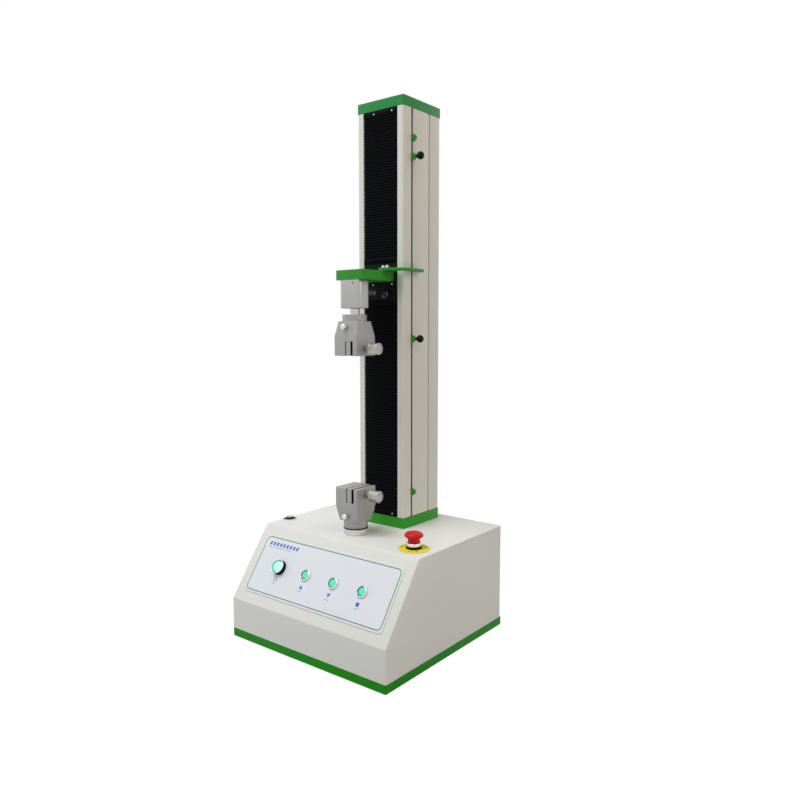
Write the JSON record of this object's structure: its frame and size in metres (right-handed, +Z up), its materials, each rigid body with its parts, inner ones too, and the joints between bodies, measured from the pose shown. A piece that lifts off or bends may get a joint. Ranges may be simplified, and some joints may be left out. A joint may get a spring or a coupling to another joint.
{
  "type": "single-column peel strength tester",
  "caption": "Bench-top peel and tensile tester: sloped control base, column with pleated bellows, crosshead arm with load cell, screw grips and adjustable travel stops.",
  "frame": {"origin": "on the bench, under the middle of the base's footprint", "axes": "+Z up; the control panel faces -Y; +X is to the right as the operator sees it"},
  "size_m": [0.4, 0.385, 1.0775],
  "materials": {
    "white_paint": "satin paint",
    "column_paint": "satin paint",
    "green_paint": "satin paint",
    "bellows_fabric": "matt coated fabric",
    "grip_aluminium": "machined",
    "satin_aluminium": "turned",
    "bright_steel": "ground and plated",
    "dark_steel": "matt paint",
    "panel_film": "satin film",
    "chrome": "polished",
    "green_lens": "clear gloss",
    "black_plastic": "matt",
    "red_plastic": "gloss",
    "yellow_plastic": "matt",
    "rubber": "matt",
    "nut_steel": "machined"
  },
  "bodies": {
    "stand": {"base_tray": "green_paint", "foot_front_left": "rubber", "foot_front_right": "rubber", "foot_rear_left": "rubber", "foot_rear_right": "rubber", "base_cover": "white_paint", "base_deck": "dark_steel", "power_inlet": "black_plastic", "control_plate": "panel_film", "power_bezel": "chrome", "up_key_bezel": "chrome", "down_key_bezel": "chrome", "stop_key_bezel": "chrome", "stop_legend": "yellow_plastic", "stop_collar": "bright_steel", "spirit_level": "dark_steel", "column_collar": "green_paint", "column_cap": "green_paint", "column_foot_plate": "nut_steel", "column_head_plate": "nut_steel", "column_profile_left": "column_paint", "column_profile_right": "column_paint", "side_cover_left": "column_paint", "side_cover_right": "column_paint", "column_back_cover": "column_paint", "guide_rod_left": "bright_steel", "guide_rod_right": "bright_steel", "motor": "black_plastic", "upper_bellows": "bellows_fabric", "lower_bellows": "bellows_fabric", "lower_adaptor": "satin_aluminium", "lower_grip_body": "grip_aluminium", "lower_grip_pin": "bright_steel"},
    "screw": {"drive_screw": "bright_steel", "shaft_coupling": "satin_aluminium"},
    "crosshead": {"carriage": "dark_steel", "crosshead_arm": "green_paint", "trip_plate": "green_paint", "load_cell": "satin_aluminium", "load_cell_plug": "black_plastic", "upper_coupling": "satin_aluminium", "upper_grip_body": "grip_aluminium", "upper_grip_pin": "bright_steel"},
    "upper_jaw": {"upper_jaw": "grip_aluminium"},
    "upper_clamp": {"upper_clamp_screw": "satin_aluminium"},
    "lower_jaw": {"lower_jaw": "grip_aluminium"},
    "lower_clamp": {"lower_clamp_screw": "satin_aluminium"},
    "limit_rod": {"limit_rod": "bright_steel", "upper_end_stop": "green_paint", "lower_end_stop": "green_paint"},
    "upper_stop": {"upper_limit_stop": "green_paint"},
    "upper_knob": {"upper_stop_knob": "black_plastic"},
    "lower_stop": {"lower_limit_stop": "green_paint"},
    "lower_knob": {"lower_stop_knob": "black_plastic"},
    "power_button": {"power_button": "green_lens"},
    "up_key": {"up_key_cap": "green_lens"},
    "down_key": {"down_key_cap": "green_lens"},
    "stop_key": {"stop_key_cap": "green_lens"},
    "stop_plunger": {"stop_plunger": "black_plastic"},
    "stop_head": {"stop_head": "red_plastic"}
  },
  "joints": [
    {"name": "drive_screw_turn", "type": "hinge", "parent": "stand", "child": "screw", "pos_m": [0, 0.1, 0.6], "axis": [0, 0, 1], "range_deg": [-15048, 9000]},
    {"name": "crosshead_slide", "type": "slide", "parent": "stand", "child": "crosshead", "axis": [0, 0, 1], "range_m": [-0.125, 0.209], "deforming": ["upper_bellows", "lower_bellows"]},
    {"name": "upper_jaw_slide", "type": "slide", "parent": "crosshead", "child": "upper_jaw", "axis": [1, 0, 0], "range_m": [-0.0014, 0.0035]},
    {"name": "upper_clamp_turn", "type": "hinge", "parent": "upper_jaw", "child": "upper_clamp", "pos_m": [0.03, -0.041, 0.5877], "axis": [1, 0, 0], "range_deg": [-336, 840]},
    {"name": "lower_jaw_slide", "type": "slide", "parent": "stand", "child": "lower_jaw", "axis": [1, 0, 0], "range_m": [-0.0014, 0.0035]},
    {"name": "lower_clamp_turn", "type": "hinge", "parent": "lower_jaw", "child": "lower_clamp", "pos_m": [0.03, -0.041, 0.3006], "axis": [1, 0, 0], "range_deg": [-336, 840]},
    {"name": "limit_rod_slide", "type": "slide", "parent": "stand", "child": "limit_rod", "axis": [0, 0, 1], "range_m": [-0.003, 0.003], "stiffness_N_per_m": 3000, "springref_m": 0.00085},
    {"name": "upper_stop_slide", "type": "slide", "parent": "limit_rod", "child": "upper_stop", "axis": [0, 0, 1], "range_m": [-0.209, 0.018]},
    {"name": "upper_knob_turn", "type": "hinge", "parent": "upper_stop", "child": "upper_knob", "pos_m": [0.08, 0.0661, 0.9634], "axis": [1, 0, 0], "range_deg": [-360, 360]},
    {"name": "lower_stop_slide", "type": "slide", "parent": "limit_rod", "child": "lower_stop", "axis": [0, 0, 1], "range_m": [-0.295, 0.125]},
    {"name": "lower_knob_turn", "type": "hinge", "parent": "lower_stop", "child": "lower_knob", "pos_m": [0.08, 0.0661, 0.606], "axis": [1, 0, 0], "range_deg": [-360, 360]},
    {"name": "power_button_push", "type": "slide", "parent": "stand", "child": "power_button", "axis": [0, -0.8178, 0.5755], "range_m": [-0.0035, 0], "stiffness_N_per_m": 400, "springref_m": 0.0005},
    {"name": "up_key_push", "type": "slide", "parent": "stand", "child": "up_key", "axis": [0, -0.8178, 0.5755], "range_m": [-0.0025, 0], "stiffness_N_per_m": 400, "springref_m": 0.0005},
    {"name": "down_key_push", "type": "slide", "parent": "stand", "child": "down_key", "axis": [0, -0.8178, 0.5755], "range_m": [-0.0025, 0], "stiffness_N_per_m": 400, "springref_m": 0.0005},
    {"name": "stop_key_push", "type": "slide", "parent": "stand", "child": "stop_key", "axis": [0, -0.8178, 0.5755], "range_m": [-0.0025, 0], "stiffness_N_per_m": 400, "springref_m": 0.0005},
    {"name": "stop_push", "type": "slide", "parent": "stand", "child": "stop_plunger", "axis": [0, 0, 1], "range_m": [-0.004, 0]},
    {"name": "stop_twist", "type": "hinge", "parent": "stop_plunger", "child": "stop_head", "pos_m": [0.1548, -0.0537, 0.24], "axis": [0, 0, 1], "range_deg": [-45, 0], "stiffness_Nm_per_rad": 0.05, "springref_deg": 5.73}
  ],
  "couplings": [
    {"joint": "drive_screw_turn", "follows": "crosshead_slide", "rad_per_m": -1256.6},
    {"joint": "upper_clamp_turn", "follows": "upper_jaw_slide", "rad_per_m": 4188.8},
    {"joint": "lower_clamp_turn", "follows": "lower_jaw_slide", "rad_per_m": 4188.8}
  ]
}
